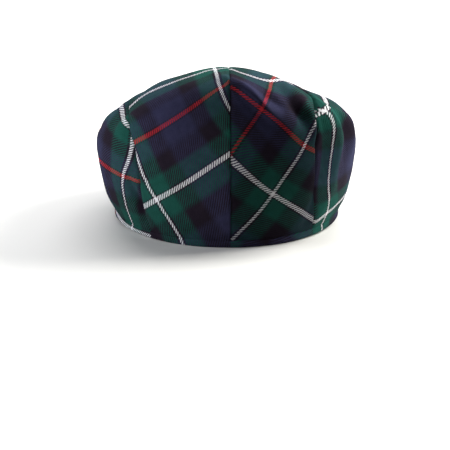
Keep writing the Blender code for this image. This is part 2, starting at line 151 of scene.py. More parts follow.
# Where stripes run on the panels at the back, so that the cloth lies as it was eased over the
# block there: for each panel and its warp or weft, the threads counted from a red stripe and the
# stripe's azimuths and stations
STRIPES = {
    ("rear_left", "weft"): {
        -78: [(44.0, 0.91), (24.8, 1.56), (10.8, 2.02), (2.0, 2.31)],
        0: [(38.8, 2.71), (28.0, 3.00), (17.2, 3.50), (11.2, 3.73), (4.8, 4.05)],
        78: [(48.8, 4.21), (40.4, 4.33), (28.4, 4.52), (18.0, 4.72), (11.6, 4.83)]},
    ("rear_left", "warp"): {
        78: [(38.8, 2.42), (35.6, 1.83), (32.4, 1.33), (25.6, 0.16)],
        242: [(9.2, 4.77), (4.8, 4.00), (2.4, 3.65)]},
    ("rear_right", "weft"): {
        -78: [(-0.4, 2.22), (-8.0, 1.87), (-18.0, 1.46), (-29.6, 1.05), (-43.6, 0.43)],
        0: [(0.4, 4.08), (-6.0, 3.76), (-13.6, 3.42), (-18.8, 3.17), (-24.0, 2.86),
            (-35.6, 2.47)],
        78: [(-5.2, 4.73), (-12.4, 4.56), (-18.8, 4.47), (-28.0, 4.61), (-44.0, 4.78)]},
    ("rear_right", "warp"): {
        78: [(-0.4, 0.01), (-10.0, 0.77), (-18.0, 1.46), (-24.4, 2.07), (-31.2, 2.68),
             (-37.6, 3.27)],
        0: [(-0.4, 2.38), (-6.4, 2.85), (-13.6, 3.43), (-21.6, 4.25), (-30.8, 4.82)]},
    ("side_rear_left", "weft"): {
        0: [(58.4, 2.10), (48.0, 1.93), (40.0, 1.78)],
        78: [(58.8, 3.93), (52.4, 3.61), (44.0, 3.18)],
        -71: [(54.8, 0.01), (44.0, 0.01)],
        -76: [(75.6, 0.02)]},
    ("side_rear_left", "warp"): {
        78: [(40.4, 2.77), (43.6, 2.18), (49.2, 1.60), (52.4, 1.00), (55.6, 0.01)],
        52: [(51.6, 2.53), (55.6, 1.60)],
        20: [(61.6, 2.91)],
        16: [(71.0, 2.40), (75.0, 1.20)]},
    ("side_rear_right", "weft"): {
        78: [(-46.8, 0.36), (-52.0, 0.62), (-56.8, 0.78), (-63.2, 0.96)],
        242: [(-41.2, 3.58), (-46.4, 3.73)]},
    ("side_rear_right", "warp"): {
        78: [(-45.6, 3.67), (-42.4, 2.81), (-42.0, 2.37), (-42.4, 1.85), (-44.8, 1.52),
             (-51.2, 0.72)],
        56: [(-39.5, 2.40)],
        90: [(-44.0, 4.00)]},
}

# The tartan's half sett: yarns from the middle of a red stripe to the middle of the plain navy
# one, each with the thread count at which it ends and the threads over which the brushed nap
# blends it into the next. The sett is then repeated in reverse.
Band = namedtuple("Band", "yarn end blend")
HALF_SETT = [
    Band("red", 3, 0.6), Band("black", 5, 2.0), Band("navy", 29, 9.0), Band("black", 52, 6.0),
    Band("green", 73, 1.0), Band("black", 75, 0.6), Band("white", 81, 0.6), Band("black", 83, 1.0),
    Band("green", 105, 6.0), Band("black", 133, 8.0), Band("navy", 160, 0.0),
]
SETT_THREADS = 160.0
OVERCHECKS = ("red", "white")

# How deep each seam is pulled in, as a share of the usual depth
SEAM_PULLS = {"back": 1.0, "rear_left": 0.45, "left": 0.8, "fore_left": 0.8,
              "front": 0.9, "fore_right": 0.8, "right": 0.8, "rear_right": 1.1}


class CapSizes(bpy.types.PropertyGroup):
    """Sizes of the cap, the same as in its CAD source."""
    head_width: FloatProperty(
        name="Head width", description="Width of the head opening outside the hem",
        default=0.1616, unit="LENGTH")
    head_length: FloatProperty(
        name="Head length", description="Length of the head opening outside the hem",
        default=0.206, unit="LENGTH")
    front_rise: FloatProperty(
        name="Front rise", description="Height of the hem over the surface at the peak",
        default=0.015, unit="LENGTH")
    side_rise: FloatProperty(
        name="Side rise", description="Height of the hem over the surface at the ears",
        default=0.002, unit="LENGTH")
    band_height: FloatProperty(
        name="Hem height", description="Height of the turned hem",
        default=0.0046, unit="LENGTH")
    band_wall: FloatProperty(
        name="Hem wall", description="Thickness of the turned hem",
        default=0.0024, unit="LENGTH")
    crown_width: FloatProperty(
        name="Crown width", description="Full width of the crown",
        default=0.185, unit="LENGTH")
    crown_back: FloatProperty(
        name="Crown back", description="Reach of the crown behind the head's centre",
        default=0.109, unit="LENGTH")
    crown_front: FloatProperty(
        name="Crown front", description="Reach of the crown before the head's centre",
        default=0.127, unit="LENGTH")
    crown_height: FloatProperty(
        name="Crown height", description="Height of the crown",
        default=0.116, unit="LENGTH")
    cloth_wall: FloatProperty(
        name="Cloth wall", description="Thickness of the crown's cloth",
        default=0.002, unit="LENGTH")
    panel_swell: FloatProperty(
        name="Panel swell", description="Swell of a panel, as a share of its half width",
        default=0.045, subtype="FACTOR")
    seam_depth: FloatProperty(
        name="Seam depth", description="Depth that a panel's edge is turned down to its seam",
        default=0.0015, unit="LENGTH")
    seam_reach: FloatProperty(
        name="Seam reach", description="Width over which a panel's edge turns down",
        default=0.0009, unit="LENGTH")
    ripple: FloatProperty(
        name="Ripple", description="Height of the fine unevenness of the worn cloth",
        default=0.0003, unit="LENGTH")
    peak_length: FloatProperty(
        name="Peak length", description="Reach of the peak before the hem",
        default=0.052, unit="LENGTH")
    peak_thickness: FloatProperty(
        name="Peak thickness", description="Thickness of the covered peak",
        default=0.004, unit="LENGTH")
    button_radius: FloatProperty(
        name="Button radius", description="Radius of the covered button",
        default=0.0105, unit="LENGTH")
    button_height: FloatProperty(
        name="Button height", description="Height of the covered button",
        default=0.0048, unit="LENGTH")
    thread_pitch: FloatProperty(
        name="Thread pitch", description="Distance between neighbouring threads of the cloth",
        default=0.000555, unit="LENGTH", precision=6)


class CapYarns(bpy.types.PropertyGroup):
    """Colours of the tartan's yarns, as sRGB hex values, and the painted shade of steep cloth."""
    green: StringProperty(
        name="Green", description="Bottle green yarn", default="1D4B43")
    navy: StringProperty(
        name="Navy", description="Navy yarn", default="31314A")
    black: StringProperty(
        name="Black", description="Black yarn", default="241E28")
    red: StringProperty(
        name="Red", description="Red yarn of the overcheck", default="AC2A33")
    white: StringProperty(
        name="White", description="White yarn of the overcheck", default="E6E6EA")
    # Painted shade: the steep parts of the right rear panel are painted this much darker, for how
    # the light falls on them
    painted_steep_shade: FloatProperty(
        name="Painted steep shade", description="Tone that steep cloth is painted down to, as painted shade",
        default=0.47, subtype="FACTOR")


class CapStudio(bpy.types.PropertyGroup):
    """The studio round the cap."""
    floor_colour: StringProperty(
        name="Floor", description="Colour of the floor and background", default="E0E0DE")
    right_power: FloatProperty(
        name="Right light", description="Power of the soft light beyond the right side",
        default=46.0, unit="POWER")
    left_power: FloatProperty(
        name="Left light", description="Power of the soft light low beside the left side",
        default=15.5, unit="POWER")
    top_power: FloatProperty(
        name="Top light", description="Power of the broad soft light high beyond the crown",
        default=58.0, unit="POWER")
    sky_strength: FloatProperty(
        name="Surroundings", description="Brightness of the pale room round the cap",
        default=0.01)
    camera_rise: FloatProperty(
        name="Camera rise", description="Angle of the camera over the surface",
        default=math.radians(13.5), subtype="ANGLE", unit="ROTATION")
    camera_turn: FloatProperty(
        name="Camera turn", description="Angle of the camera from straight behind the cap",
        default=math.radians(1.5), subtype="ANGLE", unit="ROTATION")
    camera_distance: FloatProperty(
        name="Camera distance", description="Distance from the camera to the cap",
        default=1.4, unit="LENGTH")


def unit(vectors):
    """Vectors made one long, for any stack of them."""
    length = np.linalg.norm(vectors, axis=-1, keepdims=True)
    return vectors / np.maximum(length, TINY)


def spline(values, place):
    """Read a smooth curve through evenly spaced values, straight beyond its two ends."""
    values = np.asarray(values, float)
    index = np.clip(np.asarray(place).astype(int), 0, len(values) - 2)
    part = place - index
    padded = np.concatenate([[2 * values[0] - values[1]], values, [2 * values[-1] - values[-2]]])
    first, second, third, fourth = (padded[index + step] for step in range(4))
    return 0.5 * (2 * second + (third - first) * part
                  + (2 * first - 5 * second + 4 * third - fourth) * part ** 2
                  + (3 * second - first - 3 * third + fourth) * part ** 3)


def slope(surface, aside, station, step=math.radians(0.6), limit=math.inf):
    """A surface's run towards the apex and its outward normal.

    It is read from a little below to a little above each station, and over a step to each side
    of what is aside: an azimuth, or a place across a panel with a limit at its seams.
    """
    rising = (surface(aside, np.minimum(APEX_STATION, station + CLIMB))
              - surface(aside, np.maximum(0, station - CLIMB)))
    leftward = (surface(np.minimum(limit, aside + step), station)
                - surface(np.maximum(-limit, aside - step), station))
    return unit(rising), unit(np.cross(rising, leftward))


class Block:
    """The cap's shape, read at whole arrays of azimuths (in radians) and stations at once."""

    # The hem lies on the surface this many degrees to each side of the centre back
    FLAT_AZIMUTH = 25.0
    # Sewn neighbours lie this far apart
    SEAM_GAP = 0.3 * MM
    # Folds die out over these stations at the hem and at the apex, and they reach this share of
    # the crown's height through it
    FOLD_START = 0.4
    FOLD_END = 0.8
    FOLD_DEPTH = 0.45
    # How squarely a panel's swell stands at its seams
    SWELL_POWER = 4

    def __init__(self, sizes):
        self.sizes = sizes
        self.columns = {field: [getattr(station, field) for station in STATIONS]
                        for field in Station._fields[1:]}
        self.fold_lines = [self.fold_line(fold) for fold in FOLDS + CREASES]

    def hem_rise(self, azimuth):
        """Height of the hem's lower edge over the resting plane."""
        flat = math.sin(math.radians(self.FLAT_AZIMUTH)) ** 2
        rise = self.sizes.side_rise * np.maximum(0, (np.sin(azimuth) ** 2 - flat) / (1 - flat))
        return rise + self.sizes.front_rise * np.minimum(0, np.cos(azimuth)) ** 2

    def hem_point(self, azimuth, inset, height):
        """Points of the hem, inset from its outer face and above its lower edge."""
        azimuth, inset, height = np.broadcast_arrays(azimuth, inset, height)
        width, length = self.sizes.head_width, self.sizes.head_length
        x, y = width / 2 * np.sin(azimuth), length / 2 * np.cos(azimuth)
        outward = unit(np.stack([x / width ** 2, y / length ** 2, 0 * x], -1))
        place = np.stack([x, y, self.hem_rise(azimuth) + height], -1)
        return place - inset[..., None] * outward

    def shape(self, azimuth, station):
        """The crown's outer face before its panels swell and fold."""
        sizes = self.sizes
        share = {field: spline(values, station) for field, values in self.columns.items()}
        sine, cosine = np.sin(azimuth), np.cos(azimuth)
        behind = cosine > 0
        corner = np.sin(2 * azimuth) ** 2
        full = 1 + corner * np.where(behind, share["corner_back"], share["corner_front"])
        sideways = sizes.head_width / 2 * share["hem"] + sizes.crown_width / 2 * share["side"]
        reach = np.where(behind, sizes.crown_back * share["back"],
                         sizes.crown_front * share["front"])
        lengthways = sizes.head_length / 2 * share["hem"] + reach
        up = (share["up_side"] * sine ** 2
              + np.where(behind, share["up_back"], share["up_front"]) * cosine ** 2
              + np.where(behind, corner * share["cup_back"], 0))
        hem_top = self.hem_rise(azimuth) + sizes.band_height + self.SEAM_GAP
        return np.stack([sideways * sine * full, lengthways * cosine * full,
                         hem_top * share["rise"] + sizes.crown_height * up], -1)

    def apex_radii(self, azimuth, readings=400):
        """Stations below the apex, and how far the crown lies from its middle there."""
        stations = np.linspace(APEX_STATION - 1, APEX_STATION, readings)
        place = self.shape(azimuth + 0 * stations, stations)
        return stations, np.hypot(place[:, 0], place[:, 1])

    def fold_line(self, fold):
        """A fold with its centre, run, cross direction and outward direction."""
        azimuth, station = np.radians(fold.azimuth), np.float64(fold.station)
        rising, outward = slope(self.shape, azimuth, station)
        turn = math.radians(fold.turn)
        run = math.cos(turn) * rising - math.sin(turn) * unit(np.cross(rising, outward))
        return fold, self.shape(azimuth, station), run, np.cross(run, outward), outward

    def fold_height(self, points):
        """How far the folds lift or dent the crown at points of its shape."""
        total = np.zeros(points.shape[:-1])
        height = self.sizes.crown_height
        for fold, centre, run, across, outward in self.fold_lines:
            along = (points - centre) @ run / (fold.half_length * height)
            beside = (points - centre) @ across / (fold.half_width * height)
            under = (points - centre) @ outward / (self.FOLD_DEPTH * height)
            total += fold.height * height * np.exp(-along ** 2 - beside ** 2 - under ** 2)
        return total

    def seam(self, number, station):
        """Azimuth of a seam at a station. Seam 8 is seam 0 after a full turn."""
        degrees = np.interp(station, SEAM_STATIONS, SEAMS[number % len(SEAMS)][1:])
        return np.radians(degrees) + math.tau * (number // len(SEAMS))

    def panel_point(self, number, across, station, folded=True):
        """Points of a panel's outer face, with across from -1 to 1 between its seams."""
        low, high = self.seam(number, station), self.seam(number + 1, station)
        azimuth = (low * (1 - across) + high * (1 + across)) / 2
        point = self.shape(azimuth, station)
        _, outward = slope(self.shape, azimuth, np.minimum(station, APEX_STATION - CLIMB))
        half_width = (high - low) / 2 * np.hypot(point[..., 0], point[..., 1])
        height = (self.sizes.panel_swell * half_width * np.minimum(1, station)
                  * (1 - across ** self.SWELL_POWER))
        if folded:
            ease = (np.minimum(1, station / self.FOLD_START)
                    * np.minimum(1, (APEX_STATION - station) / self.FOLD_END))
            height = height + ease * self.fold_height(point)
        return point + height[..., None] * outward, outward, half_width


class Cloth:
    """The crown's cloth laid flat, with the count of threads at every place of each panel."""

    # The net of springs on each panel: its rows from the hem up to a station near the apex, its
    # columns between the seams, its steps and how far each step goes
    ROWS = 33
    TIP = 6.85
    COLUMNS = 13
    STEPS = 700
    PULL = 0.24
    # How far the cloth is eased round a place where a stripe is known, in millimetres, and how
    # much it holds back there
    EASE_REACH = 38.0
    EASE_STIFFNESS = 0.004

    def __init__(self, block):
        self.block = block
        self.pitch = block.sizes.thread_pitch / MM
        self.flat = self.flatten()
        self.eases = {(number, yarns): self.fit(number, yarns)
                      for number in range(len(PANELS)) for yarns in ("warp", "weft")}

    def flatten(self):
        """Let each panel settle flat, as a net of springs as long as the threads between them."""
        across, stations = np.meshgrid(np.linspace(-1, 1, self.COLUMNS),
                                       np.linspace(0, self.TIP, self.ROWS))
        shaped = np.array([self.block.panel_point(number, across, stations, folded=False)[0] / MM
                           for number in range(len(PANELS))])
        # The net starts with its middle straight and its rows level, at their true lengths
        middle = self.COLUMNS // 2
        up = np.linalg.norm(np.diff(shaped[:, :, middle], axis=1), axis=2).cumsum(axis=1)
        up = np.pad(up, ((0, 0), (1, 0)))
        along = np.linalg.norm(np.diff(shaped, axis=2), axis=3).cumsum(axis=2)
        along = np.pad(along, ((0, 0), (0, 0), (1, 0)))
        along = along[:, :, middle:middle + 1] - along
        flat = np.stack(np.broadcast_arrays(along, up[:, :, None]), -1)
        # Its springs run up the panel, across it and along both diagonals, and each end of a
        # spring takes half of its stretch
        every, low, high = slice(None), slice(0, -1), slice(1, None)
        springs = [((every, low, every), (every, high, every)),
                   ((every, every, low), (every, every, high)),
                   ((every, low, low), (every, high, high)),
                   ((every, low, high), (every, high, low))]
        lengths = [np.linalg.norm(shaped[b] - shaped[a], axis=-1, keepdims=True)
                   for a, b in springs]
        for _ in range(self.STEPS):
            move = np.zeros_like(flat)
            for (a, b), length in zip(springs, lengths):
                gap = flat[b] - flat[a]
                now = np.maximum(np.linalg.norm(gap, axis=-1, keepdims=True), TINY)
                pull = 0.5 * (1 - length / now) * gap
                move[a] += pull
                move[b] -= pull
            flat = flat + self.PULL * move
        # Each cut is then set upright, with the middle of its hem at zero
        for number in range(len(PANELS)):
            flat[number] -= flat[number, 0, middle].copy()
            lean = math.atan2(*flat[number, self.ROWS // 2, middle])
            turn = np.array([[math.cos(lean), -math.sin(lean)], [math.sin(lean), math.cos(lean)]])
            flat[number] = flat[number] @ turn.T
        return flat

    def place(self, number, across, station):
        """Places on a panel's flat cut, in millimetres from the middle of its hem."""
        row = np.clip(station / self.TIP * (self.ROWS - 1), 0, self.ROWS - 1)
        column = (across + 1) / 2 * (self.COLUMNS - 1)
        i = np.clip(row.astype(int), 0, self.ROWS - 2)
        j = np.clip(column.astype(int), 0, self.COLUMNS - 2)
        down, side = (row - i)[..., None], (column - j)[..., None]
        flat = self.flat[number]
        return (flat[i, j] * (1 - down) * (1 - side) + flat[i + 1, j] * down * (1 - side)
                + flat[i, j + 1] * (1 - down) * side + flat[i + 1, j + 1] * down * side)

    def straight(self, number, yarns, places):
        """Threads counted along the cut, before the cloth is eased over the block."""
        cut = CUTS[number]
        angle = math.radians(cut.weft_angle)
        if yarns == "weft":
            return places @ [-math.sin(angle), math.cos(angle)] / self.pitch + cut.weft_threads
        return places @ [math.cos(angle), math.sin(angle)] / self.pitch + cut.warp_threads

    def across(self, number, degrees, station):
        """Where an azimuth in degrees lies between a panel's seams, from -1 to 1."""
        low = np.degrees(self.block.seam(number, station))
        high = np.degrees(self.block.seam(number + 1, station))
        turned = degrees + 360.0 * np.round(((low + high) / 2 - degrees) / 360.0)
        return 2 * (turned - low) / (high - low) - 1

    def fit(self, number, yarns):
        """Smooth corrections that bring the threads to the stripes' places on a panel."""
        known = [(*point, threads)
                 for threads, points in STRIPES.get((PANELS[number], yarns), {}).items()
                 for point in points]
        if not known:
            return None
        degrees, stations, wanted = np.array(known, float).T
        places = self.place(number, self.across(number, degrees, stations), stations)
        missing = wanted - self.straight(number, yarns, places)
        reach = np.linalg.norm(places[:, None] - places[None], axis=-1) / self.EASE_REACH
        weights = np.linalg.solve(np.exp(-reach ** 2) + self.EASE_STIFFNESS * np.eye(len(places)),
                                  missing)
        return places, weights

    def threads(self, number, across, station, lower=0.0):
        """Warp and weft counts on a panel. lower goes on below its hem, in metres."""
        places = self.place(number, across, station)
        places[..., 1] -= lower / MM
        counts = []
        for yarns in ("warp", "weft"):
            count = self.straight(number, yarns, places)
            if self.eases[number, yarns]:
                centres, weights = self.eases[number, yarns]
                reach = np.linalg.norm(places[..., None, :] - centres, axis=-1) / self.EASE_REACH
                count = count + np.exp(-reach ** 2) @ weights
            counts.append(count)
        return np.stack(counts, -1)


def cells(grid):
    """What a grid holds at the four corners of each of its cells."""
    corners = np.stack([grid[:-1, :-1], grid[:-1, 1:], grid[1:, 1:], grid[1:, :-1]], 2)
    return corners.reshape(-1, 4, *grid.shape[2:])


def walled_grid(outer, inner):
    """Points and faces of a closed wall between an outer and an inner grid of points."""
    rows, columns = outer.shape[:2]
    numbers = np.arange(rows * columns).reshape(rows, columns)
    border = np.concatenate([numbers[0, :], numbers[1:, -1], numbers[-1, -2::-1],
                             numbers[-2:0:-1, 0]])
    after = np.roll(border, -1)
    shift = rows * columns
    rim = np.stack([border, after, after + shift, border + shift], -1)
    faces = np.concatenate([cells(numbers), cells(numbers) + shift, rim])
    return np.concatenate([outer.reshape(-1, 3), inner.reshape(-1, 3)]), faces


def make_piece(name, points, faces, threads, material, nodes):
    """Make a piece from its points, faces and the thread counts at each face's corners."""
    mesh = bpy.data.meshes.new(name)
    mesh.from_pydata(points.tolist(), [], faces)
    layer = mesh.uv_layers.new(name="cloth")
    layer.data.foreach_set("uv", np.ascontiguousarray(threads, np.float32).ravel())
    builder = bmesh.new()
    builder.from_mesh(mesh)
    bmesh.ops.recalc_face_normals(builder, faces=builder.faces)
    builder.to_mesh(mesh)
    builder.free()
    mesh.shade_smooth()
    mesh.materials.append(material)
    piece = bpy.data.objects.new(name, mesh)
    bpy.context.scene.collection.objects.link(piece)
    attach(piece, "root")
    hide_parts(*nodes)


def linear(hex_colour):
    """A linear colour from an sRGB hex value."""
    channels = [int(hex_colour[index:index + 2], 16) / 255 for index in (0, 2, 4)]
    return [channel / 12.92 if channel <= 0.04045 else ((channel + 0.055) / 1.055) ** 2.4
            for channel in channels] + [1.0]


def add_node(tree, kind, inputs=None, **settings):
    """Add a node, set its settings and fill its inputs with values, or links from sockets.

    A node among the inputs stands for its first output.
    """
    node = tree.nodes.new(kind)
    for name, value in settings.items():
        setattr(node, name, value)
    for key, value in (inputs or {}).items():
        source = value.outputs[0] if isinstance(value, bpy.types.Node) else value
        if isinstance(source, bpy.types.NodeSocket):
            tree.links.new(source, node.inputs[key])
        else:
            node.inputs[key].default_value = source
    return node


def sett_colours(tree, count, yarns, slimming):
    """The yarn colours along one thread count, with the overchecks this much slimmer each side."""
    folded = add_node(tree, "ShaderNodeMath", {0: count, 1: SETT_THREADS}, operation="PINGPONG")
    place = add_node(tree, "ShaderNodeMath", {0: folded, 1: SETT_THREADS}, operation="DIVIDE")
    ramp = add_node(tree, "ShaderNodeValToRGB", {"Fac": place})
    elements = ramp.color_ramp.elements
    elements.remove(elements[-1])
    elements[0].color = linear(getattr(yarns, HALF_SETT[0].yarn))
    for band, after in zip(HALF_SETT, HALF_SETT[1:]):
        shift = slimming * ((after.yarn in OVERCHECKS) - (band.yarn in OVERCHECKS))
        for side, yarn in ((-0.5, band.yarn), (0.5, after.yarn)):
            element = elements.new((band.end + shift + side * band.blend) / SETT_THREADS)
            element.color = linear(getattr(yarns, yarn))
    return ramp


def twill_weave(tree, warp, weft):
    """2/2 twill, 1 where the warp shows: it goes over two and under two, a step on in each row."""
    # Of the whole numbers 0 to 3 in each repeat, the warp is over at 0 and 1
    repeat, over_below = 4.0, 1.5
    warp_thread = add_node(tree, "ShaderNodeMath", {0: warp}, operation="FLOOR")
    weft_thread = add_node(tree, "ShaderNodeMath", {0: weft}, operation="FLOOR")
    step = add_node(tree, "ShaderNodeMath", {0: warp_thread, 1: weft_thread},
                    operation="SUBTRACT")
    turn = add_node(tree, "ShaderNodeMath", {0: step, 1: repeat}, operation="FLOORED_MODULO")
    return add_node(tree, "ShaderNodeMath", {0: turn, 1: over_below}, operation="LESS_THAN")


def yarn_tone_and_painted_shade(tree, cloth, painted_shade_tone):
    """Spun yarn's uneven tone, thread by thread and along its length, and painted shade on steep
    cloth.
    """
    # Slubs are about 6 mm long and flecks 0.7 mm, and half of the tone follows them
    slub_scale, fleck_scale, share = 0.09, 0.8, 0.5
    slubs = add_node(tree, "ShaderNodeTexNoise",
                     {"Vector": cloth, "Scale": slub_scale, "Detail": 3.0})
    fleck = add_node(tree, "ShaderNodeTexNoise",
                     {"Vector": cloth, "Scale": fleck_scale, "Detail": 1.0})
    uneven = add_node(tree, "ShaderNodeMath", {0: slubs, 1: fleck}, operation="ADD")
    spun = add_node(tree, "ShaderNodeMath", {0: uneven, 1: share, 2: 1 - share},
                    operation="MULTIPLY_ADD")
    # Painted shade: the cloth is painted darker where it is steep than where it faces up, for how
    # the light falls on it. The two limits are the upward part of the surface's normal.
    steep, facing_up = 0.35, 0.7
    normal = add_node(tree, "ShaderNodeNewGeometry").outputs["Normal"]
    upward = add_node(tree, "ShaderNodeSeparateXYZ", {0: normal}).outputs["Z"]
    painted_slope_shade = add_node(tree, "ShaderNodeMapRange",
                   {"Value": upward, "From Min": steep, "From Max": facing_up,
                    "To Min": painted_shade_tone, "To Max": 1.0})
    return add_node(tree, "ShaderNodeMath", {0: spun, 1: painted_slope_shade}, operation="MULTIPLY")


def thread_relief(tree, warp, weft, over, hairs):
    """Round threads that rise in their middles, with the twill's slanting ribs and the hairs."""
    # Half a thread and half a rib, in threads, and what ribs and hairs add to a thread's height
    half_thread, half_rib, rib_share, hair_share = 0.5, 2.0, 0.5, 0.6
    warp_round = add_node(tree, "ShaderNodeMath", {0: warp, 1: half_thread}, operation="PINGPONG")
    weft_round = add_node(tree, "ShaderNodeMath", {0: weft, 1: half_thread}, operation="PINGPONG")
    thread = add_node(tree, "ShaderNodeMix", {0: over, 2: weft_round, 3: warp_round},
                      data_type="FLOAT")
    slant = add_node(tree, "ShaderNodeMath", {0: warp, 1: weft}, operation="SUBTRACT")
    rib = add_node(tree, "ShaderNodeMath", {0: slant, 1: half_rib}, operation="PINGPONG")
    ribbed = add_node(tree, "ShaderNodeMath", {0: rib, 1: rib_share, 2: thread},
                      operation="MULTIPLY_ADD")
    hairy = add_node(tree, "ShaderNodeMath", {0: hairs, 1: hair_share, 2: ribbed},
                     operation="MULTIPLY_ADD")
    return add_node(tree, "ShaderNodeBump",
                    {"Strength": 0.5, "Distance": 0.3 * MM, "Height": hairy})


def wool_tartan(yarns, name="tartan wool twill, pressed", painted_shade_tone=1.0):
    """Brushed wool in a 2/2 twill, woven from dyed yarns: matt, slightly hairy, ribbed aslant.

    The cloth map counts threads, so one unit of it is the real thread pitch of 0.555 mm.
    """
    material = bpy.data.materials.get(name)
    if material:
        return material
    material = bpy.data.materials.new(name)
    material.use_nodes = True
    tree = material.node_tree
    shader = tree.nodes["Principled BSDF"]
    cloth = add_node(tree, "ShaderNodeUVMap", uv_map="cloth")
    # Hairs of about 0.4 mm blur the edges of the threads by about a third of a thread
    hair_scale, spread, middle = 1.3, (0.9, 0.9, 0.0), (0.5, 0.5, 0.5)
    hairs = add_node(tree, "ShaderNodeTexNoise",
                     {"Vector": cloth, "Scale": hair_scale, "Detail": 2.0})
    blur = add_node(tree, "ShaderNodeVectorMath", {0: hairs.outputs["Color"], 1: middle},
                    operation="SUBTRACT")
    blurred = add_node(tree, "ShaderNodeVectorMath", {0: blur, 1: spread, 2: cloth},
                       operation="MULTIPLY_ADD")
    counts = add_node(tree, "ShaderNodeSeparateXYZ", {0: blurred})
    warp, weft = counts.outputs["X"], counts.outputs["Y"]
    over = twill_weave(tree, warp, weft)
    # The warp's stripes are slimmer, as its threads lie closer where they are bright. A colour
    # mix has its two colours at 6 and 7 and its result at 2.
    colour = add_node(tree, "ShaderNodeMix",
                      {0: over, 6: sett_colours(tree, weft, yarns, 0.0),
                       7: sett_colours(tree, warp, yarns, 1.0)}, data_type="RGBA").outputs[2]
    # The yarn colour is scaled by the yarn's uneven tone and by the painted shade on steep cloth
    toned = add_node(tree, "ShaderNodeVectorMath",
                     {0: colour, "Scale": yarn_tone_and_painted_shade(tree, cloth, painted_shade_tone)}, operation="SCALE")
    relief = thread_relief(tree, warp, weft, over, hairs)
    tree.links.new(toned.outputs[0], shader.inputs["Base Color"])
    tree.links.new(relief.outputs[0], shader.inputs["Normal"])
    # Brushed wool has no gloss, and its short hairs catch a little light at the edges
    shader.inputs["Roughness"].default_value = 0.82
    shader.inputs["Specular IOR Level"].default_value = 0.0
    shader.inputs["Sheen Weight"].default_value = 0.04
    shader.inputs["Sheen Roughness"].default_value = 0.45
    shader.inputs["Sheen Tint"].default_value = linear("C9D6D6")
    return material


def ripple(points, height):
    """Fine unevenness of soft cloth, in long waves with shorter ones on them."""
    long_wave, short_wave, short_share = 0.018, 0.007, 0.4
    waves = [noise.noise(Vector(point / long_wave))
             + short_share * noise.noise(Vector(point / short_wave))
             for point in points.reshape(-1, 3)]
    return height * np.array(waves).reshape(points.shape[:-1])


def crown_panel(cloth, number, material):
    """One gore of the crown, with its edges turned down to the seams and its cloth's two faces."""
    block, sizes = cloth.block, cloth.block.sizes
    # Columns crowd towards the seams by a power, and rows towards the hem. The rows end under
    # the button, this far from the crown's middle.
    half_columns, rows, edge_power, tip_radius = 24, 134, 1.8, 4.0 * MM
    side = 1 - (1 - np.arange(half_columns + 1) / half_columns) ** edge_power
    across = np.concatenate([-side[::-1], side[1:]])
    stations, radii = block.apex_radii(0.0)
    tip = stations[radii > tip_radius][-1]
    hem_stations = [0.0, 0.01, 0.02, 0.035, 0.055, 0.08]
    stations = np.concatenate([hem_stations, np.linspace(0.11, tip, rows)])
    across, stations = np.meshgrid(across, stations)
    seat, outward, half_width = block.panel_point(number, across, stations)

    def folded_face(turned, station):
        return block.panel_point(number, turned, station)[0]

    _, normal = slope(folded_face, across, stations, step=0.02, limit=1.0)
    edge = (1 - np.abs(across)) * half_width
    # Neighbours share one normal along their seam, so that no light shows between them
    shared_reach = 1.5 * MM
    shared = np.exp(-(edge / shared_reach) ** 2)[..., None]
    normal = unit(normal * (1 - shared) + outward * shared)
    hem_edge = np.linalg.norm(seat - seat[:1], axis=-1)
    seams = [SEAM_PULLS[SEAMS[near % len(SEAMS)].name] for near in (number, number + 1)]
    # The seams are pulled in down the back and lie flush over the crest
    crest_start, crest_length, crest_pull, hem_pull = 4.2, 0.6, 0.2, 0.16
    over_crest = np.clip((stations - crest_start) / crest_length, 0, 1)
    pull = np.where(across < 0, *seams) * (1 - (1 - crest_pull) * over_crest)
    dip = sizes.seam_depth * pull * np.exp(-edge / sizes.seam_reach)
    dip = np.maximum(dip, hem_pull * sizes.seam_depth * np.exp(-hem_edge / sizes.seam_reach))
    outer = seat + (ripple(seat, sizes.ripple) - dip)[..., None] * normal
    points, faces = walled_grid(outer, seat - sizes.cloth_wall * normal)
    threads = cloth.threads(number, across, stations).reshape(-1, 2)
    threads = np.concatenate([threads, threads])[faces]
    name = PANELS[number]
    make_piece("cloth_" + name, points, faces.tolist(), threads, material,
               ["panel_" + name])


def hem_band(cloth, material):
    """The narrow turned hem, cut in one with the panels above it and pressed to a round edge."""
    block, sizes = cloth.block, cloth.block.sizes
    wall, height, top = sizes.band_wall, sizes.band_height, sizes.band_height + block.SEAM_GAP
    # The upper edge is tucked in under the panels, and the lower one is rounded in this many steps
    tuck, tuck_depth, steps = 0.25 * MM, 0.5 * MM, 8
    # The warp and weft threads by which the turned cloth lies off the cloth of its panel
    shifts = {"rear_right": (14.0, 4.0)}
    turn = np.linspace(0, math.pi, steps + 1)
    inset = np.concatenate([[tuck, 0.0], wall / 2 * (1 - np.cos(turn)), [wall, wall]])
    level = np.concatenate([[top, height - tuck_depth], wall / 2 * (1 - np.sin(turn)),
                            [height - tuck_depth, top]])
    rows, columns = len(inset), 30
    total = columns * len(PANELS)
    numbers = np.pad(np.arange(rows * total).reshape(rows, total), ((0, 1), (0, 1)), mode="wrap")
    across = np.linspace(-1, 1, columns + 1)
    lower = (top - level)[:, None] + 0 * across
    points, faces, threads = [], [], []
    for number, name in enumerate(PANELS):
        low, high = block.seam(number, 0.0), block.seam(number + 1, 0.0)
        azimuth = (low * (1 - across) + high * (1 + across)) / 2
        points.append(block.hem_point(azimuth[:-1], inset[:, None], level[:, None]))
        faces.append(cells(numbers[:, number * columns:(number + 1) * columns + 1]))
        count = cloth.threads(number, across + 0 * lower, 0 * lower, lower)
        count = count + shifts.get(name, (0.0, 0.0))
        threads.append(cells(np.concatenate([count, count[:1]])))
    points = np.concatenate(points, axis=1).reshape(-1, 3)
    make_piece("hem", points, np.concatenate(faces).tolist(), np.concatenate(threads), material,
               ["hem_band"])


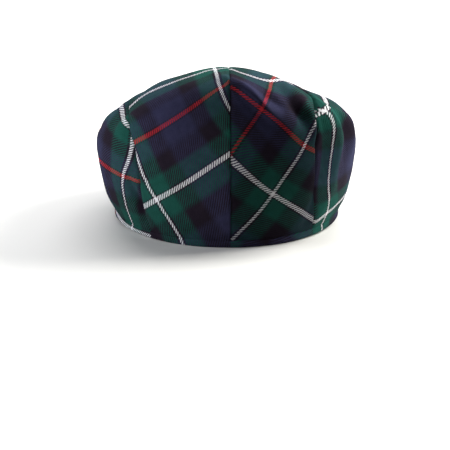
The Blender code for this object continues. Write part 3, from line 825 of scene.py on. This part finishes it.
def peak_board(block, material):
    """The stiff peak in its cloth cover, with a round front edge."""
    sizes = block.sizes
    # Half its span along the hem, how its sides flare, its reach at the corners as a share, how
    # round its front is, and how high its tip is over the surface
    span, flare, corner, roundness, tip_height = math.radians(58.0), 0.35, 0.07, 0.55, 2.0 * MM
    # Where the peak's middle lies on the cloth, in threads
    cut_warp, cut_weft = 0.0, 40.0
    # Columns crowd towards the sides and rows towards the front edge
    columns, rows = 97, 49
    turn = span * np.sin(np.linspace(-math.pi / 2, math.pi / 2, columns))[None, :]
    reach = np.sin(np.linspace(0, math.pi / 2, rows))[:, None]
    middle = (np.cos(turn) ** 2 - math.cos(span) ** 2) / (1 - math.cos(span) ** 2)
    root = block.hem_point(math.pi - turn, np.float64(sizes.band_wall), 0.0)
    forward = unit(np.stack([flare * np.sin(turn), -1 + 0 * turn, 0 * turn], -1))
    round_share = np.maximum(0, 1 - (turn / span) ** 2) ** roundness
    length = sizes.peak_length * (corner + (1 - corner) * round_share) + sizes.band_wall
    place = root + (reach * length)[..., None] * forward
    root_low = (sizes.front_rise - block.SEAM_GAP - sizes.peak_thickness) * middle
    low = root_low * (1 - reach) + tip_height * middle * reach
    thickness = ((root[..., 2] - block.SEAM_GAP - root_low) * (1 - reach)
                 + sizes.peak_thickness * reach)
    from_edge = (1 - reach) * length / (0.5 * thickness)
    rounding = 0.5 * thickness * (1 - np.sqrt(1 - np.clip(1 - from_edge, 0, 1) ** 2))
    upper, lower = place.copy(), place.copy()
    upper[..., 2] = low + thickness - rounding
    lower[..., 2] = low + rounding * middle
    points, faces = walled_grid(upper, lower)
    threads = (points[:, :2] / sizes.thread_pitch + [cut_warp, cut_weft])[faces]
    make_piece("peak_cover", points, faces.tolist(), threads, material, ["peak"])


def covered_button(block, material):
    """The button over the tips of the panels: cloth drawn over a small domed shell."""
    sizes = block.sizes
    # How far it stands over the crown, the domed share of its height, the segments round it and
    # its rings as shares of its radius
    lift, dome, segments = 1.2 * MM, 0.62, 72
    rings = np.concatenate([np.linspace(0.12, 0.9, 8), [0.95, 0.98, 1.0]])
    # Where the button's middle lies on the cloth, in threads
    cut_warp, cut_weft = 20.0, 60.0
    _, axis = slope(block.shape, np.float64(0), np.float64(APEX_STATION - CLIMB))
    back = []
    for azimuth in np.arange(segments) / segments * math.tau:
        stations, radii = block.apex_radii(azimuth)
        found = np.interp(rings * sizes.button_radius, radii[::-1], stations[::-1])
        back.append(block.shape(azimuth + 0 * found, found) + lift * axis)
    back = np.stack(back, axis=1)
    rise = sizes.button_height * (1 - dome + dome * np.sqrt(1 - rings ** 2))
    centre = block.shape(np.float64(0), np.float64(APEX_STATION)) + lift * axis
    points = np.concatenate([back.reshape(-1, 3), (back + rise[:, None, None] * axis).reshape(-1, 3),
                             [centre, centre + sizes.button_height * axis]])
    hub = len(points) - 2
    numbers = np.arange(hub).reshape(2, len(rings), segments)
    numbers = np.concatenate([numbers, numbers[:, :, :1]], axis=2)
    quads = [cells(numbers[0]), cells(numbers[1]), cells(numbers[:, -1])]
    fans = [np.stack([np.full(segments, hub + layer), ring[:-1], ring[1:]], -1)
            for layer, ring in enumerate(numbers[:, 0])]
    faces = np.concatenate(quads).tolist() + np.concatenate(fans).tolist()
    threads = points[:, :2] / sizes.thread_pitch + [cut_warp, cut_weft]
    corners = np.concatenate([threads[face] for face in faces])
    make_piece("button_cover", points, faces, corners, material,
               ["covered_button"])


def painted_board(colour):
    """Matt painted board of the studio: pale and even."""
    material = bpy.data.materials.new("matt painted board")
    material.use_nodes = True
    shader = material.node_tree.nodes["Principled BSDF"]
    shader.inputs["Base Color"].default_value = linear(colour)
    shader.inputs["Roughness"].default_value = 0.9
    return material


def add_light(name, place, aim, size, power, colour):
    """A square softbox aimed at a point."""
    lamp = bpy.data.lights.new(name, "AREA")
    lamp.size = size
    lamp.energy = power
    lamp.color = linear(colour)[:3]
    light = bpy.data.objects.new(name, lamp)
    light.location = place
    light.rotation_euler = (Vector(aim) - Vector(place)).to_track_quat("-Z", "Y").to_euler()
    bpy.context.scene.collection.objects.link(light)


def add_camera(scene, studio):
    """The camera, which aims at the point in the picture's centre."""
    # The photo's width in pixels, the column of the cap's middle and the pixels that show a metre
    pixels, centre_column, pixels_a_metre = 450.0, 226.4, 1375.5
    sensor, aim_height = 36.0, -0.0088
    turn, rise = studio.camera_turn, studio.camera_rise
    shift = (centre_column - pixels / 2) / pixels_a_metre
    aim = Vector((shift * math.cos(turn), -shift * math.sin(turn), aim_height))
    view = Vector((math.sin(turn) * math.cos(rise), math.cos(turn) * math.cos(rise),
                   math.sin(rise)))
    lens = bpy.data.cameras.new("camera")
    lens.sensor_width = sensor
    lens.lens = sensor * studio.camera_distance * pixels_a_metre / pixels
    camera = bpy.data.objects.new("camera", lens)
    camera.location = aim + studio.camera_distance * view
    camera.rotation_euler = (-view).to_track_quat("-Z", "Y").to_euler()
    scene.collection.objects.link(camera)
    scene.camera = camera


class CAP_OT_crown(bpy.types.Operator):
    """Make the eight panels of the crown"""
    bl_idname = "cap.crown"
    bl_label = "Crown panels"

    def execute(self, context):
        cloth, yarns = Cloth(Block(context.scene.cap_sizes)), context.scene.cap_yarns
        pressed = wool_tartan(yarns)
        # The right rear panel gets a copy of the cloth with painted shade, darker where it is steep
        flat = wool_tartan(yarns, "tartan wool twill, painted steep shade", yarns.painted_steep_shade)
        for number, name in enumerate(PANELS):
            crown_panel(cloth, number, flat if name == "rear_right" else pressed)
        return {"FINISHED"}


class CAP_OT_hem(bpy.types.Operator):
    """Make the turned hem under the panels"""
    bl_idname = "cap.hem"
    bl_label = "Turned hem"

    def execute(self, context):
        scene = context.scene
        hem_band(Cloth(Block(scene.cap_sizes)), wool_tartan(scene.cap_yarns))
        return {"FINISHED"}


class CAP_OT_peak(bpy.types.Operator):
    """Make the stiff peak in its cloth cover"""
    bl_idname = "cap.peak"
    bl_label = "Peak"

    def execute(self, context):
        scene = context.scene
        peak_board(Block(scene.cap_sizes), wool_tartan(scene.cap_yarns))
        return {"FINISHED"}


class CAP_OT_button(bpy.types.Operator):
    """Make the covered button"""
    bl_idname = "cap.button"
    bl_label = "Covered button"

    def execute(self, context):
        scene = context.scene
        covered_button(Block(scene.cap_sizes), wool_tartan(scene.cap_yarns))
        return {"FINISHED"}


class CAP_OT_studio(bpy.types.Operator):
    """Set up the floor, the soft lights and the camera"""
    bl_idname = "cap.studio"
    bl_label = "Studio"

    def execute(self, context):
        scene, studio = context.scene, context.scene.cap_studio
        # Half the floor's width, and the middle of the crown, where the lights aim
        half, crown = 6.0, (0.0, 0.0, 0.06)
        mesh = bpy.data.meshes.new("floor")
        mesh.from_pydata([(-half, -half, 0), (half, -half, 0), (half, half, 0), (-half, half, 0)],
                         [], [(0, 1, 2, 3)])
        mesh.materials.append(painted_board(studio.floor_colour))
        floor = bpy.data.objects.new("floor", mesh)
        scene.collection.objects.link(floor)
        scene.world = bpy.data.worlds.new("pale room")
        scene.world.use_nodes = True
        background = scene.world.node_tree.nodes["Background"]
        background.inputs["Color"].default_value = linear("FFFFFF")
        background.inputs["Strength"].default_value = studio.sky_strength
        scene.view_settings.view_transform = "Standard"
        add_light("right", (-1.10, -0.51, 0.76), crown, 0.8, studio.right_power, "FFFDF8")
        add_light("left", (1.26, 0.31, 0.58), crown, 0.8, studio.left_power, "F8FAFF")
        add_light("top", (0.0, -1.29, 1.59), crown, 2.0, studio.top_power, "FFFFFF")
        add_camera(scene, studio)
        return {"FINISHED"}


class CAP_PT_sidebar(bpy.types.Panel):
    """The cap's sizes, yarns and studio, and its steps in order"""
    bl_idname = "CAP_PT_sidebar"
    bl_label = "Tartan flat cap"
    bl_space_type = "VIEW_3D"
    bl_region_type = "UI"
    bl_category = "Cap"

    def draw(self, context):
        for setting in GROUPS:
            box, group = self.layout.box(), getattr(context.scene, setting)
            for name in group.__annotations__:
                box.prop(group, name)
        for operator in OPERATORS:
            self.layout.operator(operator.bl_idname)


GROUPS = {"cap_sizes": CapSizes, "cap_yarns": CapYarns, "cap_studio": CapStudio}
OPERATORS = [CAP_OT_crown, CAP_OT_hem, CAP_OT_peak, CAP_OT_button, CAP_OT_studio]
CLASSES = [*GROUPS.values(), *OPERATORS, CAP_PT_sidebar]


def register():
    """Register the classes and hang the settings on the scene."""
    for item in CLASSES:
        bpy.utils.register_class(item)
    for name, group in GROUPS.items():
        setattr(bpy.types.Scene, name, PointerProperty(type=group))


def unregister():
    """Take the settings and classes away again."""
    for name in GROUPS:
        delattr(bpy.types.Scene, name)
    for item in reversed(CLASSES):
        bpy.utils.unregister_class(item)


def main():
    """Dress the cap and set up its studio."""
    register()
    bpy.ops.cap.crown()
    bpy.ops.cap.hem()
    bpy.ops.cap.peak()
    bpy.ops.cap.button()
    bpy.ops.cap.studio()


if __name__ == "__main__":
    main()
